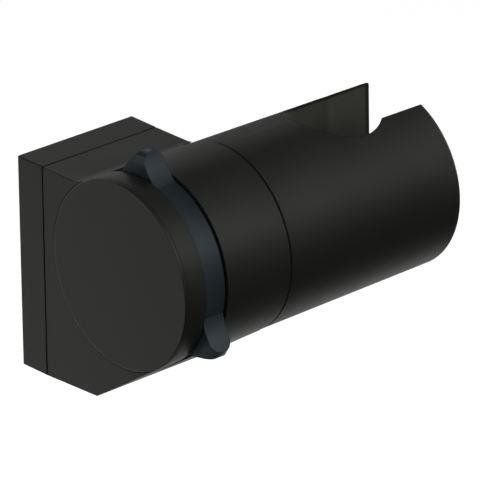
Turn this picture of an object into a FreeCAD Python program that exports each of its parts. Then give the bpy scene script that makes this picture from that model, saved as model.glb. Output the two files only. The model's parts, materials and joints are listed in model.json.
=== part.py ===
"""Wall holder for a hand shower: a fixed body on a wall plate, a tilting cradle and a clamping grip.

Frame, in millimetres: the origin is the middle of the wall plate's back, on the wall.
+X runs along the barrel towards the cradle's open end, +Y points into the wall, +Z is up.
Depths are distances out from the wall, so a depth d lies at Y = -d.
Stations are distances along the barrel from the plate's left edge.
Angles round the barrel start at 0, straight out from the wall, and reach 90 at the top.
"""
import FreeCAD, Part
import math
import os

V = FreeCAD.Vector

# Wall plate and the block of the body
plate_width = 33.4
plate_height = 51.0
plate_depth = 8.1
plate_draft = 0.4
body_step = 0.15
body_corner_depth = 25.3
underside_rise = 0.9
blend_radius = 7.0
edge_round = 0.35

# Barrel, shared by the body and the cradle
barrel_radius = 22.0
axis_depth = 33.6
axis_height = 7.6
block_overhang = 2.8
rebate_clearance = 0.3

# Cradle for the cone of the hand shower
joint_gap = 0.3
cradle_length = 51.9
cradle_end_radius = 21.6
cone_distance = 32.1
cone_top_radius = 11.4
cone_half_angle = 1.95
slot_half_width = 8.8
slot_draft = 1.0
slot_corner_radius = 1.0
cradle_edge_round = 0.7
shoulder_round = 0.3

# Clamping grip: an arc with two finger tabs, clipped over the cam hub
grip_station = 6.2
grip_width = 5.8
grip_base_drop = 0.8
grip_side_gap = 0.25
grip_first_angle = -80.0
grip_last_angle = 140.0
grip_turn = 25.0
grip_end_gap = 2.0
grip_cover = 0.4
grip_thickness = 3.6
upper_tab_angle = 91.5
lower_tab_angle = -31.5
tab_rise = 5.2
tab_front_top = 1.7
tab_front_foot = 6.0
tab_front_bow = 0.6
tab_back_top = 0.5
tab_back_foot = 7.6
tab_back_bow = 0.5
tab_back_round = 1.8
tab_end_round = 2.7
tab_foot_sink = 1.0
slot_end_gap = 2.5
lug_inset = 24.0
lug_half_span = 4.0
lug_rise = 1.4
lug_side = 1.2

# Running fits and seats
running_clearance = 0.05
seat_clearance = 0.1
face_gap = 0.05
loose_clearance = 0.4

# Pivot bolt and its stack
bolt_radius = 4.0
bolt_head_radius = 6.8
bolt_head_height = 3.0
bolt_head_station = 1.5
bolt_head_round = 1.2
bolt_tip_bevel = 0.8
hex_across_flats = 5.0
hex_depth = 2.0
washer_radius = 10.0
thrust_washer_thickness = 0.8
disc_spring_thickness = 0.6
disc_spring_rise = 0.4
disc_spring_count = 2
slide_washer_thickness = 0.8

# Cam hub and the cams on the body's web
hub_rim_width = 2.8
chamber_clearance = 0.4
cam_count = 3
cam_height = 1.1
cam_gap = 0.25
cam_span = 30.0
cam_inner_radius = 9.6
cam_outer_radius = 14.0
sleeve_radius = 8.0
sleeve_setback = 0.7
web_thickness = 3.6

# Cradle's pivot, its bush, friction disc, thread insert and seal
pivot_radius = 9.0
pivot_end_gap = 1.05
bush_wall = 2.0
bush_setback = 0.5
bush_flange_margin = 0.8
bush_flange_thickness = 1.4
friction_inner_radius = 9.8
friction_inset = 6.4
friction_thickness = 2.2
insert_radius = 5.6
insert_length = 11.0
insert_groove_depth = 0.5
insert_groove_width = 2.0
thread_engagement = 9.5
bolt_tip_room = 3.0
seal_section_radius = 0.85
seal_distance = 3.4

# Tilt stop, and the pins that turn the friction disc
tilt_range = 40.0
stop_angle = 90.0
stop_pin_radius = 1.5
stop_pin_inset = 3.1
stop_pin_reach = 3.2
stop_pin_seat = 4.0
stop_pin_round = 0.4
groove_clearance = 0.35
drive_pin_radius = 1.1
drive_pin_reach = 1.5
drive_pin_seat = 3.5
drive_pin_count = 2

# End cover
cover_proud = 0.15
cover_rim_thickness = 0.8
cover_edge_gap = 0.08
cover_edge_round = 0.3
cover_plug_wall = 2.0
cover_plug_depth = 2.4
cover_bead = 0.25
cover_bead_width = 0.8
cover_rib_count = 4
cover_rib_thickness = 1.2
cover_rib_gap = 1.0

# Plate fixing
tongue_width = 16.0
tongue_inset = 13.5
tongue_reach = 5.6
tongue_round = 1.5
screw_inset = 7.5
screw_hole_radius = 2.6
screw_head_radius = 5.0
screw_head_depth = 4.2
back_rim = 2.6
back_relief = 1.4
back_boss_radius = 6.5
set_screw_radius = 2.0
set_screw_length = 9.0
set_screw_depth = 11.9
set_tip_radius = 1.0
set_tip_length = 1.0
set_tip_bite = 0.6
set_hex_across_flats = 2.0
set_hex_depth = 2.5
set_insert_radius = 2.9
set_insert_length = 6.5
set_insert_distance = 1.0

# Places worked out from the sizes above
left_x = -plate_width / 2
body_left = left_x + body_step
body_right = -left_x - body_step
half_plate = plate_height / 2
tongue_height = plate_height - 2 * tongue_inset
screw_spacing = plate_height - 2 * screw_inset
half_body = half_plate - plate_depth * math.tan(math.radians(plate_draft)) - body_step
axis_y = -axis_depth
axis_z = axis_height
seam_x = -left_x - block_overhang
cradle_start = seam_x + joint_gap
cradle_stop = cradle_start + cradle_length
cone_x = cradle_start + cone_distance
grip_left = left_x + grip_station
grip_right = grip_left + grip_width
grip_radius = barrel_radius - grip_base_drop
hub_rim_radius = grip_radius - grip_thickness
tab_crest = barrel_radius + tab_rise
slot_left = grip_left - grip_side_gap
web_left = grip_right + grip_side_gap
web_right = web_left + web_thickness
chamber_radius = hub_rim_radius + chamber_clearance
head_left = left_x + bolt_head_station
head_right = head_left + bolt_head_height
springs_left = head_right + thrust_washer_thickness
spring_pitch = disc_spring_thickness + disc_spring_rise
slide_washer_left = springs_left + disc_spring_count * spring_pitch
hub_web_left = slide_washer_left + slide_washer_thickness + face_gap
hub_web_right = web_left - cam_height - cam_gap
washer_bore = bolt_radius + seat_clearance
bush_bore = pivot_radius + running_clearance
bush_radius = bush_bore + bush_wall
pivot_end = web_right + pivot_end_gap
stop_pin_circle = barrel_radius - stop_pin_inset
friction_outer_radius = barrel_radius - friction_inset
drive_pin_circle = (friction_inner_radius + friction_outer_radius) / 2
bush_flange_radius = drive_pin_circle + bush_flange_margin
friction_right = cradle_start - face_gap
friction_left = friction_right - friction_thickness
friction_floor = friction_left - face_gap
insert_end = pivot_end + insert_length
tongue_end = plate_depth + tongue_reach
set_insert_top = -tongue_height / 2 - seat_clearance - set_insert_distance


def along_x(radius, start, stop, y=axis_y, z=axis_z):
    """Solid cylinder along X, on the barrel's axis unless told otherwise."""
    return Part.makeCylinder(radius, stop - start, V(start, y, z), V(1, 0, 0))


def ring_x(outer, inner, start, stop):
    """Ring round the barrel's axis."""
    return along_x(outer, start, stop).cut(along_x(inner, start, stop))


def on_axis(radius, angle, x=0.0):
    """Point at a radius and an angle round the barrel."""
    turn = math.radians(angle)
    return V(x, axis_y - radius * math.cos(turn), axis_z + radius * math.sin(turn))


def line(first, last):
    return Part.LineSegment(first, last).toShape()


def arc(radius, first, last, x):
    """Arc round the barrel's axis between two angles."""
    ends = on_axis(radius, first, x), on_axis(radius, last, x)
    return Part.Arc(ends[0], on_axis(radius, (first + last) / 2, x), ends[1]).toShape()


def sector(inner, outer, first, last, start, stop):
    """Curved bar round the barrel's axis between two radii, two angles and two stations."""
    edges = [
        arc(inner, first, last, start),
        line(on_axis(inner, last, start), on_axis(outer, last, start)),
        arc(outer, last, first, start),
        line(on_axis(outer, first, start), on_axis(inner, first, start)),
    ]
    return Part.Face(Part.Wire(edges)).extrude(V(stop - start, 0, 0))


def box(x0, x1, depth0, depth1, z0, z1):
    """Box between two stations, two depths from the wall and two heights."""
    return Part.makeBox(x1 - x0, depth1 - depth0, z1 - z0, V(x0, -depth1, z0))


def prism(points, direction):
    """Closed outline pushed along a direction."""
    return Part.Face(Part.makePolygon(points + points[:1])).extrude(direction)


def hex_socket(across_flats, depth, place, direction):
    """Hexagonal hole, for cutting into the end of a screw."""
    corner = across_flats / 2 / math.cos(math.pi / 6)
    points = [V(corner * math.cos(k * math.pi / 3), corner * math.sin(k * math.pi / 3), 0) for k in range(6)]
    socket = prism(points, V(0, 0, depth))
    socket.Placement = FreeCAD.Placement(place, FreeCAD.Rotation(V(0, 0, 1), direction))
    return socket


def rounded(shape, radius, wanted):
    """Shape with the edges that wanted() picks rounded."""
    return shape.makeFillet(radius, [edge for edge in shape.Edges if wanted(edge)])


def runs_along(edge, axis):
    """True for a straight edge along an axis, within the draft."""
    return isinstance(edge.Curve, Part.Line) and abs(edge.Curve.Direction.dot(axis)) > 0.999


def pin_place(circle, angle):
    """Y and Z of a pin on a circle round the axis."""
    point = on_axis(circle, angle)
    return point.y, point.z


def drive_pin_places():
    return [pin_place(drive_pin_circle, k * 360 / drive_pin_count) for k in range(drive_pin_count)]


def lug_angles():
    """Middles of the two lugs that hold the grip on the hub."""
    return grip_first_angle + lug_inset, grip_last_angle - lug_inset


def wall_plate():
    """Moulded plate: screwed to the wall, it carries the body on its tongue."""
    narrowing = plate_depth * math.tan(math.radians(plate_draft))
    side = [V(-plate_width, 0, -half_plate), V(-plate_width, 0, half_plate),
            V(-plate_width, -plate_depth, half_plate - narrowing), V(-plate_width, -plate_depth, narrowing - half_plate)]
    top = [V(left_x, 0, -plate_height), V(-left_x, 0, -plate_height),
           V(-left_x - narrowing, -plate_depth, -plate_height), V(left_x + narrowing, -plate_depth, -plate_height)]
    plate = prism(side, V(2 * plate_width, 0, 0)).common(prism(top, V(0, 0, 2 * plate_height)))
    plate = rounded(plate, edge_round, lambda e: runs_along(e, V(0, 1, 0)))
    plate = rounded(plate, edge_round / 2, lambda e: abs(e.CenterOfMass.y + plate_depth) < 0.01)
    relief = box(left_x + back_rim, -left_x - back_rim, 0, back_relief, back_rim - half_plate, half_plate - back_rim)
    relief = rounded(relief, back_rim / 2, lambda e: runs_along(e, V(0, 1, 0)))
    screw_heights = (-screw_spacing / 2, screw_spacing / 2)
    for z in screw_heights:
        relief = relief.cut(Part.makeCylinder(back_boss_radius, back_relief, V(0, 0, z), V(0, -1, 0)))
    plate = plate.cut(relief)
    tongue = box(-tongue_width / 2, tongue_width / 2, plate_depth - 1, tongue_end, -tongue_height / 2, tongue_height / 2)
    tongue = rounded(tongue, tongue_round, lambda e: runs_along(e, V(0, 1, 0)))
    plate = plate.fuse(tongue)
    for z in screw_heights:
        plate = plate.cut(Part.makeCylinder(screw_hole_radius, plate_depth, V(0, 0, z), V(0, -1, 0)))
        head_seat = V(0, screw_head_depth - plate_depth, z)
        plate = plate.cut(Part.makeCylinder(screw_head_radius, screw_head_depth, head_seat, V(0, -1, 0)))
    notch = Part.makeCone(set_tip_radius + set_tip_bite, set_tip_radius, set_tip_bite,
                          V(0, -set_screw_depth, -tongue_height / 2), V(0, 0, 1))
    return plate.cut(notch).removeSplitter()


def body_outline():
    """Outline of the body seen from its left: block, hollow blend, barrel and the slope under it."""
    x = body_left
    blend_z = half_body + blend_radius
    blend_depth = axis_depth - math.sqrt((barrel_radius + blend_radius) ** 2 - (blend_z - axis_z) ** 2)
    blend_angle = math.degrees(math.atan2(blend_z - axis_z, blend_depth - axis_depth))
    middle = math.radians((blend_angle - 270) / 2)
    blend_start = V(x, -blend_depth, half_body)
    blend_middle = V(x, -blend_depth - blend_radius * math.cos(middle), blend_z + blend_radius * math.sin(middle))
    corner = V(x, -body_corner_depth, underside_rise - half_body)
    reach = math.hypot(corner.y - axis_y, corner.z - axis_z)
    towards = math.degrees(math.atan2(corner.z - axis_z, axis_y - corner.y))
    tangent_angle = towards + math.degrees(math.acos(barrel_radius / reach))
    back_top = V(x, -plate_depth, half_body)
    back_bottom = V(x, -plate_depth, -half_body)
    edges = [
        line(back_bottom, corner),
        line(corner, on_axis(barrel_radius, tangent_angle, x)),
        arc(barrel_radius, tangent_angle, blend_angle, x),
        Part.Arc(on_axis(barrel_radius, blend_angle, x), blend_middle, blend_start).toShape(),
        line(blend_start, back_top),
        line(back_top, back_bottom),
    ]
    return Part.Face(Part.Wire(edges))


def housing():
    """Body moulding: block and fixed barrel in one, hollowed for the clamp, the pivot and the plate's tongue."""
    body = body_outline().extrude(V(body_right - body_left, 0, 0))
    body = rounded(body, edge_round, lambda e: abs(e.CenterOfMass.y + plate_depth) < 0.01)
    body = body.cut(along_x(barrel_radius + rebate_clearance, seam_x, body_right))
    body = body.cut(along_x(barrel_radius + cover_edge_gap, body_left, body_left + cover_rim_thickness - cover_proud))
    body = body.cut(along_x(chamber_radius, body_left, web_left))
    body = body.cut(ring_x(chamber_radius + cover_bead, chamber_radius - 1, *bead_stations()))
    sleeve_left = hub_web_left + sleeve_setback
    body = body.fuse(along_x(sleeve_radius, sleeve_left, web_left))
    for k in range(cam_count):
        first = k * 360 / cam_count
        body = body.fuse(sector(cam_inner_radius, cam_outer_radius, first, first + cam_span,
                                web_left - cam_height, web_left))
    body = body.cut(along_x(bolt_radius + loose_clearance, sleeve_left, seam_x))
    body = body.cut(along_x(bush_radius, web_right, seam_x))
    body = body.cut(along_x(bush_flange_radius + seat_clearance, friction_floor - bush_flange_thickness, seam_x))
    body = body.cut(along_x(friction_outer_radius + loose_clearance, friction_floor, seam_x))
    body = body.cut(stop_groove())
    # Room for the grip under the skin, and the slot through the skin for its tabs
    body = body.cut(sector(chamber_radius - 1, grip_radius + grip_cover,
                           grip_first_angle - grip_turn - grip_end_gap, grip_last_angle + grip_end_gap,
                           slot_left, web_left))
    slot_reach = tab_foot_angle() + slot_end_gap
    body = body.cut(sector(grip_radius, tab_crest + 1, lower_tab_angle - slot_reach - grip_turn,
                           upper_tab_angle + slot_reach, slot_left, web_left))
    # Pocket for the tongue, and the bore for the set screw and its insert
    half_width = tongue_width / 2 + seat_clearance
    half_height = tongue_height / 2 + seat_clearance
    body = body.cut(box(-half_width, half_width, plate_depth, tongue_end + seat_clearance, -half_height, half_height))
    body = body.cut(Part.makeCylinder(set_insert_radius, set_insert_top + half_plate,
                                      V(0, -set_screw_depth, -half_plate), V(0, 0, 1)))
    body = body.cut(Part.makeCylinder(set_screw_radius + seat_clearance, set_insert_distance + 1,
                                      V(0, -set_screw_depth, set_insert_top), V(0, 0, 1)))
    return body.removeSplitter()


def bead_stations():
    """Where the cover's snap bead starts and stops."""
    start = left_x + cover_rim_thickness + cover_plug_depth - 2 * cover_bead_width
    return start, start + cover_bead_width


def stop_groove():
    """Arc groove in the body's end face, in which the tilt stop runs."""
    half_groove = stop_pin_radius + groove_clearance
    half_angle = tilt_range + math.degrees(half_groove / stop_pin_circle)
    return sector(stop_pin_circle - half_groove, stop_pin_circle + half_groove, stop_angle - half_angle,
                  stop_angle + half_angle, cradle_start - stop_pin_reach - groove_clearance, seam_x)


def end_cover():
    """Round cover, clipped into the barrel's left end."""
    rim_right = left_x + cover_rim_thickness
    plug_radius = chamber_radius - seat_clearance
    plug_bore = plug_radius - cover_plug_wall
    plug_right = rim_right + cover_plug_depth
    cover = along_x(barrel_radius, left_x, rim_right)
    cover = rounded(cover, cover_edge_round, lambda e: abs(e.CenterOfMass.x - left_x) < 0.01)
    cover = cover.fuse(ring_x(plug_radius, plug_bore, rim_right, plug_right))
    cover = cover.fuse(ring_x(plug_radius + cover_bead, plug_radius - cover_bead, *bead_stations()))
    rib_right = head_left - cover_rib_gap / 4
    for k in range(cover_rib_count):
        rib = box(rim_right - cover_proud, rib_right, axis_depth + bolt_head_radius + cover_rib_gap,
                  axis_depth + plug_bore + cover_bead, axis_z - cover_rib_thickness / 2,
                  axis_z + cover_rib_thickness / 2)
        rib.rotate(V(0, axis_y, axis_z), V(1, 0, 0), k * 360 / cover_rib_count)
        cover = cover.fuse(rib)
    return cover.removeSplitter()


def set_screw():
    """Set screw under the body, which locks it on the plate's tongue."""
    tip_z = set_tip_bite - tongue_height / 2
    start = tip_z - set_screw_length
    y = -set_screw_depth
    shank = Part.makeCylinder(set_screw_radius, set_screw_length - set_tip_length, V(0, y, start), V(0, 0, 1))
    tip = Part.makeCone(set_screw_radius, set_tip_radius, set_tip_length, V(0, y, tip_z - set_tip_length), V(0, 0, 1))
    socket = hex_socket(set_hex_across_flats, set_hex_depth, V(0, y, start), V(0, 0, 1))
    return shank.fuse(tip).cut(socket).removeSplitter()


def set_screw_insert():
    """Brass thread insert for the set screw."""
    start = V(0, -set_screw_depth, set_insert_top - set_insert_length)
    sleeve = Part.makeCylinder(set_insert_radius, set_insert_length, start, V(0, 0, 1))
    return sleeve.cut(Part.makeCylinder(set_screw_radius, set_insert_length, start, V(0, 0, 1)))


def pivot_bush():
    """Flanged bush, pressed into the body, in which the cradle's pivot turns."""
    start = web_right + bush_setback
    stop = friction_floor
    bush = along_x(bush_radius, start, stop).fuse(along_x(bush_flange_radius, stop - bush_flange_thickness, stop))
    return bush.cut(along_x(bush_bore, start, stop)).removeSplitter()


def cam_hub():
    """Hub turned by the grip: its cams ride on the body's and draw the cradle tight."""
    hub = ring_x(hub_rim_radius, hub_rim_radius - hub_rim_width, grip_left, grip_right)
    hub = hub.fuse(ring_x(hub_rim_radius - hub_rim_width / 2, sleeve_radius + running_clearance,
                          hub_web_left, hub_web_right))
    for k in range(cam_count):
        first = (k + 0.5) * 360 / cam_count
        hub = hub.fuse(sector(cam_inner_radius, cam_outer_radius, first, first + cam_span,
                              hub_web_right - cam_gap, web_left - face_gap))
    slack = math.degrees(seat_clearance / hub_rim_radius)
    for angle in lug_angles():
        hub = hub.cut(sector(hub_rim_radius - lug_rise - seat_clearance, hub_rim_radius + 1,
                             angle - lug_half_span - slack, angle + lug_half_span + slack,
                             grip_left + lug_side - seat_clearance, grip_right - lug_side + seat_clearance))
    return hub.removeSplitter()


def tab_directions(angle, side):
    """Outward, and away from the other tab, at a tab's place on the grip."""
    turn = math.radians(angle)
    return V(0, -math.cos(turn), math.sin(turn)), V(0, side * math.sin(turn), side * math.cos(turn))


def tab_point(angle, side, along, height):
    """Point of a finger tab: along the grip from its crest's middle, and up from the barrel's axis."""
    out, away = tab_directions(angle, side)
    return V(grip_left, axis_y, axis_z) + out * height + away * along


def tab_foot_angle():
    """How far round the grip a tab's long slope reaches."""
    return math.degrees(math.asin(tab_back_foot / grip_radius))


def on_grip(along):
    """Height above the barrel's axis of the grip's base, beside a tab's middle."""
    return math.sqrt(grip_radius ** 2 - along ** 2)


def hollow(first, last, bow):
    """Arc between two points of a tab's outline, bowed towards the barrel's axis."""
    chord = last - first
    across = V(0, chord.z, -chord.y).normalize()
    if across.dot(on_axis(0, 0, first.x) - first) < 0:
        across = across.negative()
    return Part.Arc(first, (first + last) / 2 + across * bow, last).toShape()


def finger_tab(angle, side):
    """Finger tab before its ends are rounded: steep towards the other tab, with a long slope on its back."""
    front_low = tab_point(angle, side, -tab_front_foot, on_grip(tab_front_foot) - tab_foot_sink)
    front_foot = tab_point(angle, side, -tab_front_foot, on_grip(tab_front_foot))
    front_top = tab_point(angle, side, -tab_front_top, tab_crest)
    back_top = tab_point(angle, side, tab_back_top, tab_crest)
    back_foot = tab_point(angle, side, tab_back_foot, on_grip(tab_back_foot))
    back_low = tab_point(angle, side, tab_back_foot, on_grip(tab_back_foot) - tab_foot_sink)
    edges = [
        line(front_low, front_foot),
        hollow(front_foot, front_top, tab_front_bow),
        line(front_top, back_top),
        hollow(back_top, back_foot, tab_back_bow),
        line(back_foot, back_low),
        line(back_low, front_low),
    ]
    return Part.Face(Part.Wire(edges)).extrude(V(grip_width, 0, 0))


def end_cutter(angle, side, x, inward):
    """What is cut from one end of a tab's crest to leave it round, as on a tongue."""
    out, away = tab_directions(angle, side)
    origin = V(x, axis_y, axis_z) - away * tab_back_foot
    centre = tab_crest - tab_end_round
    half = math.sqrt(0.5) * tab_end_round

    def place(inset, height):
        return origin + V(inward * inset, 0, 0) + out * height

    bend = Part.Arc(place(0, centre), place(tab_end_round - half, centre + half), place(tab_end_round, tab_crest))
    edges = [
        bend.toShape(),
        line(place(tab_end_round, tab_crest), place(tab_end_round, tab_crest + 1)),
        line(place(tab_end_round, tab_crest + 1), place(-1, tab_crest + 1)),
        line(place(-1, tab_crest + 1), place(-1, centre)),
        line(place(-1, centre), place(0, centre)),
    ]
    return Part.Face(Part.Wire(edges)).extrude(away * 2 * tab_back_foot)


def finger_grip():
    """Blue-grey arc with two finger tabs, clipped over the cam hub through the slot."""
    inner = hub_rim_radius + running_clearance
    grip = sector(inner, grip_radius, grip_first_angle, grip_last_angle, grip_left, grip_right)
    tabs = ((upper_tab_angle, 1), (lower_tab_angle, -1))
    for tab in tabs:
        grip = grip.fuse(finger_tab(*tab))
    grip = grip.removeSplitter()
    for tab in tabs:
        grip = round_near(grip, tab_back_round, tab_point(*tab, tab_back_top, tab_crest))
        grip = grip.cut(end_cutter(*tab, grip_left, 1)).cut(end_cutter(*tab, grip_right, -1))
    for angle in lug_angles():
        grip = grip.fuse(sector(hub_rim_radius - lug_rise, inner + 1, angle - lug_half_span, angle + lug_half_span,
                                grip_left + lug_side, grip_right - lug_side))
    return grip.removeSplitter()


def round_near(shape, radius, point):
    """Round the edge along X that lies nearest to a point of the shape's left face."""
    edges = [edge for edge in shape.Edges if runs_along(edge, V(1, 0, 0))]
    nearest = min(edges, key=lambda e: math.hypot(e.CenterOfMass.y - point.y, e.CenterOfMass.z - point.z))
    return shape.makeFillet(radius, [nearest])


def cradle():
    """Tilting cradle: a barrel with its pivot on the left and the slotted, conical seat on the right."""
    start = V(cradle_start, axis_y, axis_z)
    barrel = Part.makeCone(barrel_radius, cradle_end_radius, cradle_length, start, V(1, 0, 0))
    barrel = rounded(barrel, cradle_edge_round, lambda e: e.CenterOfMass.x > cradle_stop - 0.1)
    barrel = rounded(barrel, shoulder_round, lambda e: abs(e.CenterOfMass.x - cradle_start) < 0.1)
    barrel = barrel.fuse(along_x(pivot_radius, pivot_end, cradle_start + 1))
    reach = barrel_radius + 2
    taper = math.tan(math.radians(cone_half_angle))
    seat_top = cone_top_radius + (reach - barrel_radius) * taper
    seat = Part.makeCone(seat_top - 2 * reach * taper, seat_top, 2 * reach,
                         V(cone_x, axis_y, axis_z - reach), V(0, 0, 1))
    slot_taper = math.tan(math.radians(slot_draft))
    upper = slot_half_width + (reach - barrel_radius) * slot_taper
    lower = upper - 2 * reach * slot_taper
    slot = prism([V(cone_x, axis_y - lower, axis_z - reach), V(cone_x, axis_y + lower, axis_z - reach),
                  V(cone_x, axis_y + upper, axis_z + reach), V(cone_x, axis_y - upper, axis_z + reach)],
                 V(cradle_stop + 1 - cone_x, 0, 0))
    barrel = barrel.cut(seat.fuse(slot))
    corners = [edge for edge in barrel.Edges if abs(edge.CenterOfMass.z - axis_z) < 1
               and edge.Length > barrel_radius and cone_x + 1 < edge.CenterOfMass.x < cradle_stop - 3]
    barrel = barrel.makeFillet(slot_corner_radius, corners)
    barrel = barrel.cut(along_x(insert_radius, pivot_end, insert_end))
    barrel = barrel.cut(along_x(bolt_radius + loose_clearance, insert_end, insert_end + bolt_tip_room))
    groove = cradle_start - seal_distance
    half_groove = seal_section_radius + running_clearance
    barrel = barrel.cut(ring_x(pivot_radius + 1, pivot_radius - 2 * half_groove, groove - half_groove,
                               groove + half_groove))
    barrel = barrel.cut(along_x(stop_pin_radius, cradle_start, cradle_start + stop_pin_seat,
                                *pin_place(stop_pin_circle, stop_angle)))
    for place in drive_pin_places():
        barrel = barrel.cut(along_x(drive_pin_radius, cradle_start, cradle_start + drive_pin_seat, *place))
    return barrel.removeSplitter()


def pivot_bolt():
    """Socket-head bolt that holds the cradle to the body and turns with it."""
    tip = pivot_end + thread_engagement
    head = along_x(bolt_head_radius, head_left, head_right)
    head = rounded(head, bolt_head_round, lambda e: abs(e.CenterOfMass.x - head_left) < 0.01)
    shank = along_x(bolt_radius, head_right, tip)
    point = Part.makeCone(bolt_radius, bolt_radius - bolt_tip_bevel, bolt_tip_bevel, V(tip, axis_y, axis_z), V(1, 0, 0))
    socket = hex_socket(hex_across_flats, hex_depth, V(head_left, axis_y, axis_z), V(1, 0, 0))
    return head.fuse(shank).fuse(point).cut(socket).removeSplitter()


def bolt_insert():
    """Brass thread insert moulded into the cradle's pivot."""
    middle = (pivot_end + insert_end) / 2
    insert = along_x(insert_radius, pivot_end, insert_end)
    insert = insert.cut(ring_x(insert_radius + 1, insert_radius - insert_groove_depth,
                               middle - insert_groove_width / 2, middle + insert_groove_width / 2))
    return insert.cut(along_x(bolt_radius, pivot_end, insert_end))


def thrust_washer():
    return ring_x(washer_radius, washer_bore, head_right, springs_left)


def disc_springs():
    """Disc springs in pairs, back to back, each a separate solid."""
    springs = []
    for k in range(disc_spring_count):
        x = springs_left + k * spring_pitch
        near = x + (disc_spring_rise if k % 2 == 0 else 0)
        far = x + (0 if k % 2 == 0 else disc_spring_rise)
        outline = [V(near, axis_y, axis_z + washer_bore), V(far, axis_y, axis_z + washer_radius),
                   V(far + disc_spring_thickness, axis_y, axis_z + washer_radius),
                   V(near + disc_spring_thickness, axis_y, axis_z + washer_bore)]
        section = Part.Face(Part.makePolygon(outline + outline[:1]))
        springs.append(section.revolve(V(0, axis_y, axis_z), V(1, 0, 0), 360))
    return Part.makeCompound(springs)


def slide_washer():
    """Washer that the cam hub slides on."""
    return ring_x(washer_radius, washer_bore, slide_washer_left, slide_washer_left + slide_washer_thickness)


def friction_disc():
    """Friction disc between body and cradle, turned by the pins in the cradle."""
    disc = ring_x(friction_outer_radius, friction_inner_radius, friction_left, friction_right)
    for place in drive_pin_places():
        disc = disc.cut(along_x(drive_pin_radius + running_clearance, friction_left, friction_right, *place))
    return disc


def drive_pins():
    """Pins pressed into the cradle, each a separate solid."""
    start = cradle_start - drive_pin_reach
    return Part.makeCompound([along_x(drive_pin_radius, start, cradle_start + drive_pin_seat, *place)
                              for place in drive_pin_places()])


def tilt_stop_pin():
    start = cradle_start - stop_pin_reach
    pin = along_x(stop_pin_radius, start, cradle_start + stop_pin_seat, *pin_place(stop_pin_circle, stop_angle))
    return rounded(pin, stop_pin_round, lambda e: abs(e.CenterOfMass.x - start) < 0.01)


def pivot_seal():
    """Sealing ring in the pivot's groove, against the bush."""
    centre = V(cradle_start - seal_distance, axis_y, axis_z)
    return Part.makeTorus(pivot_radius - seal_section_radius, seal_section_radius, centre, V(1, 0, 0))


PIECES = {
    "wall_plate": wall_plate,
    "housing": housing,
    "end_cover": end_cover,
    "set_screw": set_screw,
    "set_screw_insert": set_screw_insert,
    "pivot_bush": pivot_bush,
    "cam_hub": cam_hub,
    "finger_grip": finger_grip,
    "cradle": cradle,
    "pivot_bolt": pivot_bolt,
    "bolt_insert": bolt_insert,
    "thrust_washer": thrust_washer,
    "disc_springs": disc_springs,
    "slide_washer": slide_washer,
    "friction_disc": friction_disc,
    "drive_pins": drive_pins,
    "tilt_stop_pin": tilt_stop_pin,
    "pivot_seal": pivot_seal,
}


def main():
    os.makedirs("parts", exist_ok=True)
    for name, make in PIECES.items():
        shape = make()
        print(f"{name}: {len(shape.Solids)} solid, {shape.Volume / 1000:.2f} cm3, valid {shape.isValid()}")
        shape.exportStep(f"parts/{name}.step")


main()
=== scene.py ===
"""Looks of the wall holder for a hand shower: finishes for its pieces, a studio floor, lights and a camera."""
import json
import math

import bpy
from mathutils import Matrix, Vector


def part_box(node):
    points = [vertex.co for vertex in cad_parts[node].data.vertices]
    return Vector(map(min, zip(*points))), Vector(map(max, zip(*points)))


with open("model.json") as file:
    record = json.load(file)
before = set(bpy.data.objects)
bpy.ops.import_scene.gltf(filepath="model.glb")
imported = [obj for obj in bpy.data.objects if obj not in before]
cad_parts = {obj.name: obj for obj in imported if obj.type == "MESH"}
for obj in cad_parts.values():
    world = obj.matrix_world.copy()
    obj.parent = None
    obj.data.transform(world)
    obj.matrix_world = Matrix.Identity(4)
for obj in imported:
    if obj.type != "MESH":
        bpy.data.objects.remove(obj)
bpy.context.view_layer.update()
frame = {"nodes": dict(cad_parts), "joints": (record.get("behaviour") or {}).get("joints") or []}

bl_info = {
    "name": "Hand Shower Holder",
    "version": (1, 0, 0),
    "blender": (4, 5, 0),
    "location": "View3D > Sidebar > Holder",
    "description": "Finishes, stage and camera for a wall holder for a hand shower",
    "category": "Object",
}

MM = 0.001
SENSOR_MM = 36.0
WHITE = (1.0, 1.0, 1.0, 1.0)

# Painted light on the walls of the cradle's seat and slot, which get a paler colour standing in for light reflected
# inside the seat: their length from its open end, where the painted light starts and is full below the barrel's skin
# and behind the open end, and the length over which it starts at the bottom
SEAT_REACH = 32.5 * MM
PAINTED_LIGHT_BELOW_SKIN = (0.7 * MM, 1.2 * MM)
PAINTED_LIGHT_BEHIND_END = (0.8 * MM, 1.4 * MM)
PAINTED_LIGHT_START = 1.0 * MM

# Painted shade, a dark line on a moulding's edges and inner corners: reach of the bevel that finds it and how many
# rays that takes, how well the two normals match where the line starts and is full, and its colour as a share of
# the moulding's own
EDGE_REACH = 0.35 * MM
EDGE_RAYS = 8
EDGE_MATCH = (0.99, 0.92)
PAINTED_EDGE_SHADE = 0.2

# Mouldings: width of the patches of sheen, how far their roughness leaves the middle, and strength of the grain
PATCH_WIDTH = 14 * MM
PATCH_SHEEN = 0.025
GRAIN_STRENGTH = 0.35
PLASTIC_IOR = 1.5

# Turned metal: distance between the rings of Blender's wave texture at scale 1, width of the smudges, and how far
# they take the roughness down and up
RING_DISTANCE = 0.314
SMUDGE_WIDTH = 3 * MM
SMUDGE_SHEEN = (-0.08, 0.12)

# Friction pad: width of its flecks, and the darkest as a share of its colour
FLECK_WIDTH = 0.5 * MM
FLECK_SHADE = 0.6

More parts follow.
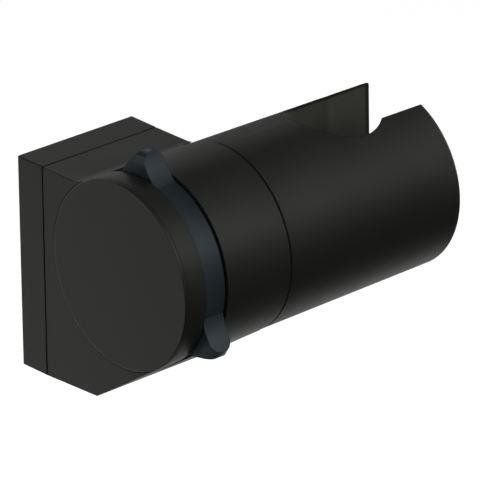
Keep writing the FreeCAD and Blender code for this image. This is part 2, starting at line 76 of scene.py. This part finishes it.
# Each soft lamp: name, azimuth and elevation in degrees, distance and size in metres, and power in watts
LAMPS = (
    ("lamp_front", 6.0, 32.0, 1.4, 0.9, 9.7),
    ("lamp_right", 90.0, 8.0, 1.4, 0.9, 12.5),
    ("lamp_left", -90.0, 12.0, 1.4, 0.9, 4.0),
    ("lamp_high_back", 150.0, 32.0, 1.4, 0.9, 0.82),
    ("lamp_back_right", 162.0, 8.0, 1.4, 0.9, 1.3),
    ("lamp_back_left", 198.0, 8.0, 1.4, 0.9, 2.4),
    ("lamp_back", 180.0, -16.0, 1.4, 0.9, 2.2),
    ("lamp_low_left", 216.0, -16.0, 1.4, 0.9, 0.4),
    ("lamp_back_low", 180.0, -40.0, 0.8, 0.5, 2.0),
    ("lamp_low_rim", 120.0, -40.0, 0.8, 0.4, 0.22),
)


def joint_named(name):
    """The record's joint of that name."""
    return next(joint for joint in frame["joints"] if joint["name"] == name)


BARREL_AXIS = Vector(joint_named("cradle_tilt")["pos_m"])
PLATE_LOW = Vector(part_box("wall_plate")[0])
CRADLE_LOW, CRADLE_HIGH = (Vector(corner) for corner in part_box("cradle"))


class HolderFinish(bpy.types.PropertyGroup):
    """Colours and surface of the pieces."""

    body_colour: bpy.props.StringProperty(
        name="Body colour", description="sRGB hex of the black mouldings", default="#1A1B19")
    body_gloss: bpy.props.StringProperty(
        name="Body gloss", description="sRGB hex of the tint in the black mouldings' gloss", default="#FBFFF3")
    # Paler colour painted on the seat's walls: painted light that stands in for light reflected inside the seat
    seat_light_colour: bpy.props.StringProperty(
        name="Seat light colour", description="sRGB hex of the paler colour painted on the cradle's seat as light", default="#444440")
    grip_colour: bpy.props.StringProperty(
        name="Grip colour", description="sRGB hex of the clamping grip", default="#273034")
    grip_gloss: bpy.props.StringProperty(
        name="Grip gloss", description="sRGB hex of the tint in the grip's gloss", default="#EAF7FF")
    bearing_colour: bpy.props.StringProperty(
        name="Bearing colour", description="sRGB hex of the hub and the bush", default="#D9D6CB")
    steel_colour: bpy.props.StringProperty(
        name="Steel colour", description="sRGB hex of the screws, washers and pins", default="#B9BBBC")
    brass_colour: bpy.props.StringProperty(
        name="Brass colour", description="sRGB hex of the thread inserts", default="#C9A45C")
    pad_colour: bpy.props.StringProperty(
        name="Friction disc colour", description="sRGB hex of the friction disc", default="#4A4540")
    seal_colour: bpy.props.StringProperty(
        name="Seal colour", description="sRGB hex of the sealing ring", default="#1D1D1E")
    body_roughness: bpy.props.FloatProperty(
        name="Body roughness", description="Roughness of the black mouldings", default=0.43, min=0.0, max=1.0)
    grip_roughness: bpy.props.FloatProperty(
        name="Grip roughness", description="Roughness of the clamping grip", default=0.34, min=0.0, max=1.0)
    grain: bpy.props.FloatProperty(
        name="Moulded grain", description="Width of the mouldings' fine grain, in millimetres",
        default=0.35, min=0.05, max=2.0)


class HolderStage(bpy.types.PropertyGroup):
    """Floor, lights and camera."""

    floor_drop: bpy.props.FloatProperty(
        name="Floor drop", description="From the plate's foot down to the floor", default=0.6, unit="LENGTH")
    floor_size: bpy.props.FloatProperty(
        name="Floor size", description="Side of the floor", default=12.0, unit="LENGTH")
    floor_front: bpy.props.FloatProperty(
        name="Floor front", description="How far the floor reaches in front of the wall", default=0.18, unit="LENGTH")
    room_light: bpy.props.FloatProperty(
        name="Room light", description="Level of the plain light from all round", default=0.012, min=0.0)
    floor_colour: bpy.props.StringProperty(
        name="Floor colour", description="sRGB hex of the floor", default="#959594")
    azimuth: bpy.props.FloatProperty(
        name="Azimuth", description="Turn of the camera round the object",
        default=math.radians(-41.80), subtype="ANGLE")
    elevation: bpy.props.FloatProperty(
        name="Elevation", description="Height of the camera as an angle", default=math.radians(24.13), subtype="ANGLE")
    roll: bpy.props.FloatProperty(
        name="Roll", description="Turn of the camera about its own line", default=math.radians(-0.44), subtype="ANGLE")
    distance: bpy.props.FloatProperty(
        name="Distance", description="From the camera to the object", default=1.1186, unit="LENGTH")
    lens: bpy.props.FloatProperty(
        name="Lens", description="Focal length in millimetres on a 36 mm sensor", default=377.2)
    aim_right: bpy.props.FloatProperty(
        name="Aim right", description="Where the camera aims, to its right of the plate's left edge",
        default=0.04876, unit="LENGTH")
    aim_up: bpy.props.FloatProperty(
        name="Aim up", description="Where the camera aims, above the middle of the plate",
        default=0.00469, unit="LENGTH")


def linear(hex_colour):
    """Linear RGBA of an sRGB hex colour."""
    parts = [int(hex_colour[k:k + 2], 16) / 255 for k in (1, 3, 5)]
    return tuple(c / 12.92 if c <= 0.04045 else ((c + 0.055) / 1.055) ** 2.4 for c in parts) + (1.0,)


def shaded(hex_colour, share):
    """Linear RGBA of an sRGB hex colour made darker or paler: a share of its light."""
    return tuple(c * share for c in linear(hex_colour)[:3]) + (1.0,)


def add_node(tree, kind, inputs=None, **settings):
    """Adds a node with its settings; an input's value is a number, a colour or another node's socket."""
    node = tree.nodes.new(kind)
    for name, value in settings.items():
        setattr(node, name, value)
    for name, value in (inputs or {}).items():
        if isinstance(value, bpy.types.NodeSocket):
            tree.links.new(value, node.inputs[name])
        else:
            node.inputs[name].default_value = value
    return node


def empty_material(name):
    """A material with an empty node tree."""
    material = bpy.data.materials.new(name)
    material.use_nodes = True
    material.node_tree.nodes.clear()
    return material, material.node_tree


def finish_material(tree, inputs):
    """Principled shader to the output."""
    shader = add_node(tree, "ShaderNodeBsdfPrincipled", inputs)
    add_node(tree, "ShaderNodeOutputMaterial", {"Surface": shader.outputs["BSDF"]})


def seat_light_area(tree, place):
    """1 where light is painted, on the cradle's seat and slot walls inside the barrel's skin, and 0 elsewhere."""
    centred = add_node(tree, "ShaderNodeMapping", {"Vector": place, "Location": -BARREL_AXIS}, vector_type="POINT")
    across = add_node(tree, "ShaderNodeVectorMath", {0: centred.outputs["Vector"], 1: (0.0, 1.0, 1.0)},
                      operation="MULTIPLY")
    radius = add_node(tree, "ShaderNodeVectorMath", {0: across.outputs["Vector"]}, operation="LENGTH")
    skin = (CRADLE_HIGH.z - CRADLE_LOW.z) / 2
    inside = add_node(tree, "ShaderNodeMapRange", {"Value": radius.outputs["Value"],
                                                   "From Min": skin - PAINTED_LIGHT_BELOW_SKIN[0],
                                                   "From Max": skin - PAINTED_LIGHT_BELOW_SKIN[1]})
    along = add_node(tree, "ShaderNodeSeparateXYZ", {"Vector": place}).outputs["X"]
    bottom = CRADLE_HIGH.x - SEAT_REACH
    past = add_node(tree, "ShaderNodeMapRange", {"Value": along, "From Min": bottom,
                                                 "From Max": bottom + PAINTED_LIGHT_START})
    short = add_node(tree, "ShaderNodeMapRange", {"Value": along, "From Min": CRADLE_HIGH.x - PAINTED_LIGHT_BEHIND_END[0],
                                                  "From Max": CRADLE_HIGH.x - PAINTED_LIGHT_BEHIND_END[1]})
    both = add_node(tree, "ShaderNodeMath", {0: past.outputs["Result"], 1: short.outputs["Result"]},
                    operation="MULTIPLY")
    return add_node(tree, "ShaderNodeMath", {0: inside.outputs["Result"], 1: both.outputs["Value"]},
                    operation="MULTIPLY").outputs["Value"]


def edge_shade_and_matt_area(tree):
    """1 along edges and inner corners, where shade is painted and the surface is made matt, and 0 on the faces.

    A bevel turns the normal near an edge, and there it no longer matches the face's own.
    """
    bevelled = add_node(tree, "ShaderNodeBevel", {"Radius": EDGE_REACH}, samples=EDGE_RAYS)
    face = add_node(tree, "ShaderNodeNewGeometry")
    match = add_node(tree, "ShaderNodeVectorMath", {0: bevelled.outputs["Normal"], 1: face.outputs["Normal"]},
                     operation="DOT_PRODUCT")
    return add_node(tree, "ShaderNodeMapRange", {"Value": match.outputs["Value"], "From Min": EDGE_MATCH[0],
                                                 "From Max": EDGE_MATCH[1]}).outputs["Result"]


def moulded(name, colour, roughness, grain_mm, depth_mm, spread, gloss="#FFFFFF", specular=0.5, seat_light=None):
    """Injection-moulded plastic or rubber: an eroded mould leaves a fine grain, with soft patches of sheen.

    A real mould's grain is finer, about 0.1 mm wide, and is drawn coarser here, so that it shows. Edges and inner
    corners are matt and have painted shade, and the walls of the cradle's seat get a paler colour as painted light.
    """
    material, tree = empty_material(name)
    place = add_node(tree, "ShaderNodeTexCoord").outputs["Object"]
    grain = add_node(tree, "ShaderNodeTexNoise", {"Vector": place, "Scale": 1 / (grain_mm * MM), "Detail": 3.0})
    patches = add_node(tree, "ShaderNodeTexNoise", {"Vector": place, "Scale": 1 / PATCH_WIDTH, "Detail": 2.0})
    tint = add_node(tree, "ShaderNodeMix", {"Factor": patches.outputs["Fac"], "A": shaded(colour, 1 - spread),
                                            "B": shaded(colour, 1 + spread)}, data_type="RGBA")
    # Painted light: a paler colour on the seat's walls stands in for light reflected inside the seat
    if seat_light:
        tint = add_node(tree, "ShaderNodeMix", {"Factor": seat_light_area(tree, place), "A": tint.outputs["Result"],
                                                "B": linear(seat_light)}, data_type="RGBA")
    edge = edge_shade_and_matt_area(tree)
    # Painted shade: edges and inner corners are darkened to a share of the moulding's colour
    tint = add_node(tree, "ShaderNodeMix", {"Factor": edge, "A": tint.outputs["Result"],
                                            "B": shaded(colour, PAINTED_EDGE_SHADE)}, data_type="RGBA")
    sheen = add_node(tree, "ShaderNodeMapRange", {"Value": patches.outputs["Fac"], "From Min": 0.3, "From Max": 0.7,
                                                  "To Min": roughness - PATCH_SHEEN,
                                                  "To Max": roughness + PATCH_SHEEN})
    sheen = add_node(tree, "ShaderNodeMapRange", {"Value": edge, "To Min": sheen.outputs["Result"], "To Max": 1.0})
    bump = add_node(tree, "ShaderNodeBump", {"Height": grain.outputs["Fac"], "Strength": GRAIN_STRENGTH,
                                             "Distance": depth_mm * MM})
    finish_material(tree, {"Base Color": tint.outputs["Result"], "Roughness": sheen.outputs["Result"],
                           "Normal": bump.outputs["Normal"], "IOR": PLASTIC_IOR, "Specular IOR Level": specular,
                           "Specular Tint": linear(gloss)})
    return material


def turned_metal(name, colour, roughness, pitch_mm):
    """Turned metal: fine lathe lines run round the barrel's axis, and each catches the light on its own."""
    material, tree = empty_material(name)
    place = add_node(tree, "ShaderNodeTexCoord").outputs["Object"]
    centred = add_node(tree, "ShaderNodeMapping", {"Vector": place, "Location": -BARREL_AXIS}, vector_type="POINT")
    lines = add_node(tree, "ShaderNodeTexWave", {"Vector": centred.outputs["Vector"],
                                                 "Scale": RING_DISTANCE / (pitch_mm * MM), "Distortion": 0.4},
                     wave_type="RINGS", rings_direction="X")
    smudges = add_node(tree, "ShaderNodeTexNoise", {"Vector": place, "Scale": 1 / SMUDGE_WIDTH, "Detail": 4.0})
    sheen = add_node(tree, "ShaderNodeMapRange", {"Value": smudges.outputs["Fac"],
                                                  "To Min": roughness + SMUDGE_SHEEN[0],
                                                  "To Max": roughness + SMUDGE_SHEEN[1]})
    bump = add_node(tree, "ShaderNodeBump", {"Height": lines.outputs["Fac"], "Strength": 0.15,
                                             "Distance": 0.01 * MM})
    finish_material(tree, {"Base Color": linear(colour), "Metallic": 1.0, "Roughness": sheen.outputs["Result"],
                           "Normal": bump.outputs["Normal"]})
    return material


def pressed_pad(name, colour):
    """Pressed friction material: fibres and dust in a hard binder, fully matte."""
    material, tree = empty_material(name)
    place = add_node(tree, "ShaderNodeTexCoord").outputs["Object"]
    flecks = add_node(tree, "ShaderNodeTexVoronoi", {"Vector": place, "Scale": 1 / FLECK_WIDTH})
    tint = add_node(tree, "ShaderNodeMix", {"Factor": flecks.outputs["Distance"], "A": shaded(colour, FLECK_SHADE),
                                            "B": linear(colour)}, data_type="RGBA")
    bump = add_node(tree, "ShaderNodeBump", {"Height": flecks.outputs["Distance"], "Strength": 0.4,
                                             "Distance": 0.05 * MM})
    finish_material(tree, {"Base Color": tint.outputs["Result"], "Roughness": 0.85, "Normal": bump.outputs["Normal"]})
    return material


def paint(material, *nodes):
    """Gives pieces of the frame a material."""
    for name in nodes:
        mesh = frame["nodes"][name].data
        mesh.materials.clear()
        mesh.materials.append(material)


class FinishBody(bpy.types.Operator):
    """Black moulded ABS on the plate, the body, its cover and the cradle"""

    bl_idname = "holder.finish_body"
    bl_label = "Finish Body"

    def execute(self, context):
        finish = context.scene.holder_finish
        surface = {"colour": finish.body_colour, "roughness": finish.body_roughness, "grain_mm": finish.grain,
                   "depth_mm": 0.02, "spread": 0.06, "gloss": finish.body_gloss}
        paint(moulded("moulded_black_abs", **surface), "wall_plate", "housing", "end_cover")
        # The cradle's seat gets painted light, a paler colour on its walls
        paint(moulded("moulded_black_abs_painted_light_seat", **surface, seat_light=finish.seat_light_colour), "cradle")
        return {"FINISHED"}


class FinishGrip(bpy.types.Operator):
    """Blue-grey moulded acetal on the clamping grip"""

    bl_idname = "holder.finish_grip"
    bl_label = "Finish Grip"

    def execute(self, context):
        finish = context.scene.holder_finish
        grey = moulded("moulded_blue_grey_acetal", finish.grip_colour, finish.grip_roughness, finish.grain,
                       depth_mm=0.01, spread=0.05, gloss=finish.grip_gloss, specular=0.9)
        paint(grey, "finger_grip")
        return {"FINISHED"}


class FinishInside(bpy.types.Operator):
    """Steel, brass, acetal, friction material and rubber on the pieces inside"""

    bl_idname = "holder.finish_inside"
    bl_label = "Finish Inside"

    def execute(self, context):
        finish = context.scene.holder_finish
        steel = turned_metal("turned_stainless_steel", finish.steel_colour, roughness=0.3, pitch_mm=0.15)
        paint(steel, "pivot_bolt", "thrust_washer", "disc_springs", "slide_washer", "set_screw", "drive_pins",
              "tilt_stop_pin")
        brass = turned_metal("turned_brass", finish.brass_colour, roughness=0.32, pitch_mm=0.2)
        paint(brass, "bolt_insert", "set_screw_insert")
        acetal = moulded("moulded_natural_acetal", finish.bearing_colour, roughness=0.35, grain_mm=0.6,
                         depth_mm=0.01, spread=0.04)
        paint(acetal, "cam_hub", "pivot_bush")
        paint(pressed_pad("pressed_friction_pad", finish.pad_colour), "friction_disc")
        rubber = moulded("moulded_nitrile_rubber", finish.seal_colour, roughness=0.7, grain_mm=0.3,
                         depth_mm=0.02, spread=0.1)
        paint(rubber, "pivot_seal")
        return {"FINISHED"}


def camera_axes(stage):
    """Right, up and back of the camera."""
    sin_a, cos_a = math.sin(stage.azimuth), math.cos(stage.azimuth)
    sin_e, cos_e = math.sin(stage.elevation), math.cos(stage.elevation)
    right = Vector((cos_a, sin_a, 0))
    back = Vector((sin_a * cos_e, -cos_a * cos_e, sin_e))
    up = back.cross(right)
    turned_right = right * math.cos(stage.roll) + up * math.sin(stage.roll)
    turned_up = up * math.cos(stage.roll) - right * math.sin(stage.roll)
    return turned_right, turned_up, back


def add_camera(stage):
    """Camera at the photograph's viewing angle."""
    right, up, back = camera_axes(stage)
    data = bpy.data.cameras.new("view")
    data.lens = stage.lens
    data.sensor_width = SENSOR_MM
    data.clip_end = 100.0
    camera = bpy.data.objects.new("view", data)
    bpy.context.scene.collection.objects.link(camera)
    aim = Vector((PLATE_LOW.x, 0, 0)) + right * stage.aim_right + up * stage.aim_up
    turn = Matrix((right, up, back)).transposed().to_4x4()
    camera.matrix_world = Matrix.Translation(aim + back * stage.distance) @ turn
    bpy.context.scene.camera = camera


def add_lamp(name, azimuth, elevation, distance, size, power):
    """Soft square lamp that shines on the barrel from an azimuth and an elevation in degrees."""
    turn, rise = math.radians(azimuth), math.radians(elevation)
    towards = Vector((math.sin(turn) * math.cos(rise), -math.cos(turn) * math.cos(rise), math.sin(rise)))
    data = bpy.data.lights.new(name, "AREA")
    data.size = size
    data.energy = power
    lamp = bpy.data.objects.new(name, data)
    bpy.context.scene.collection.objects.link(lamp)
    lamp.location = BARREL_AXIS + towards * distance
    lamp.rotation_euler = (-towards).to_track_quat("-Z", "Y").to_euler()


def background_level(tree, straight, mirrored, everywhere=0.0):
    """How bright the background is: straight to the camera, in gloss and through glass, and to every ray."""
    ray = add_node(tree, "ShaderNodeLightPath")
    camera = add_node(tree, "ShaderNodeMath", {0: ray.outputs["Is Camera Ray"], 1: straight, 2: everywhere},
                      operation="MULTIPLY_ADD")
    gloss = add_node(tree, "ShaderNodeMath", {0: ray.outputs["Is Glossy Ray"], 1: ray.outputs["Is Transmission Ray"]},
                     operation="MAXIMUM")
    return add_node(tree, "ShaderNodeMath", {0: gloss.outputs["Value"], 1: mirrored, 2: camera.outputs["Value"]},
                    operation="MULTIPLY_ADD").outputs["Value"]


def floor_material(colour):
    """Pale studio floor: its own light keeps it white to the camera, and it still takes the shadow."""
    material, tree = empty_material("painted_studio_floor")
    strength = background_level(tree, straight=0.95, mirrored=0.03)
    finish_material(tree, {"Base Color": linear(colour), "Roughness": 0.9, "Specular IOR Level": 0.0,
                           "Emission Color": WHITE, "Emission Strength": strength})
    return material


def studio_world(room_light):
    """World that is white to the camera and gives a little plain light from all round."""
    world = bpy.data.worlds.new("studio")
    world.use_nodes = True
    tree = world.node_tree
    tree.nodes.clear()
    strength = background_level(tree, straight=1.0 - room_light, mirrored=0.01, everywhere=room_light)
    background = add_node(tree, "ShaderNodeBackground", {"Color": WHITE, "Strength": strength})
    add_node(tree, "ShaderNodeOutputWorld", {"Surface": background.outputs["Background"]})
    return world


class BuildStage(bpy.types.Operator):
    """Pale floor, soft lamps, plain world and the camera"""

    bl_idname = "holder.build_stage"
    bl_label = "Build Stage"

    def execute(self, context):
        stage = context.scene.holder_stage
        bpy.ops.object.select_all(action="DESELECT")
        middle = (0, stage.floor_size / 2 - stage.floor_front, PLATE_LOW.z - stage.floor_drop)
        bpy.ops.mesh.primitive_plane_add(size=stage.floor_size, location=middle)
        floor = context.active_object
        floor.name = "floor"
        floor.data.materials.append(floor_material(stage.floor_colour))
        for lamp in LAMPS:
            add_lamp(*lamp)
        context.scene.world = studio_world(stage.room_light)
        context.scene.view_settings.view_transform = "Standard"
        add_camera(stage)
        return {"FINISHED"}


class HolderPanel(bpy.types.Panel):
    """Buttons for each step, in the sidebar"""

    bl_idname = "VIEW3D_PT_holder"
    bl_label = "Hand Shower Holder"
    bl_space_type = "VIEW_3D"
    bl_region_type = "UI"
    bl_category = "Holder"

    def draw(self, context):
        for step in STEPS:
            self.layout.operator(step.bl_idname)


STEPS = (FinishBody, FinishGrip, FinishInside, BuildStage)
CLASSES = (HolderFinish, HolderStage, *STEPS, HolderPanel)


def register():
    """Adds the classes and their settings to Blender."""
    for kind in CLASSES:
        bpy.utils.register_class(kind)
    bpy.types.Scene.holder_finish = bpy.props.PointerProperty(type=HolderFinish)
    bpy.types.Scene.holder_stage = bpy.props.PointerProperty(type=HolderStage)


def unregister():
    """Takes the settings and the classes out again."""
    del bpy.types.Scene.holder_stage
    del bpy.types.Scene.holder_finish
    for kind in reversed(CLASSES):
        bpy.utils.unregister_class(kind)


def main():
    """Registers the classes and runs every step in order."""
    register()
    bpy.ops.holder.finish_body()
    bpy.ops.holder.finish_grip()
    bpy.ops.holder.finish_inside()
    bpy.ops.holder.build_stage()


if __name__ == "__main__":
    main()
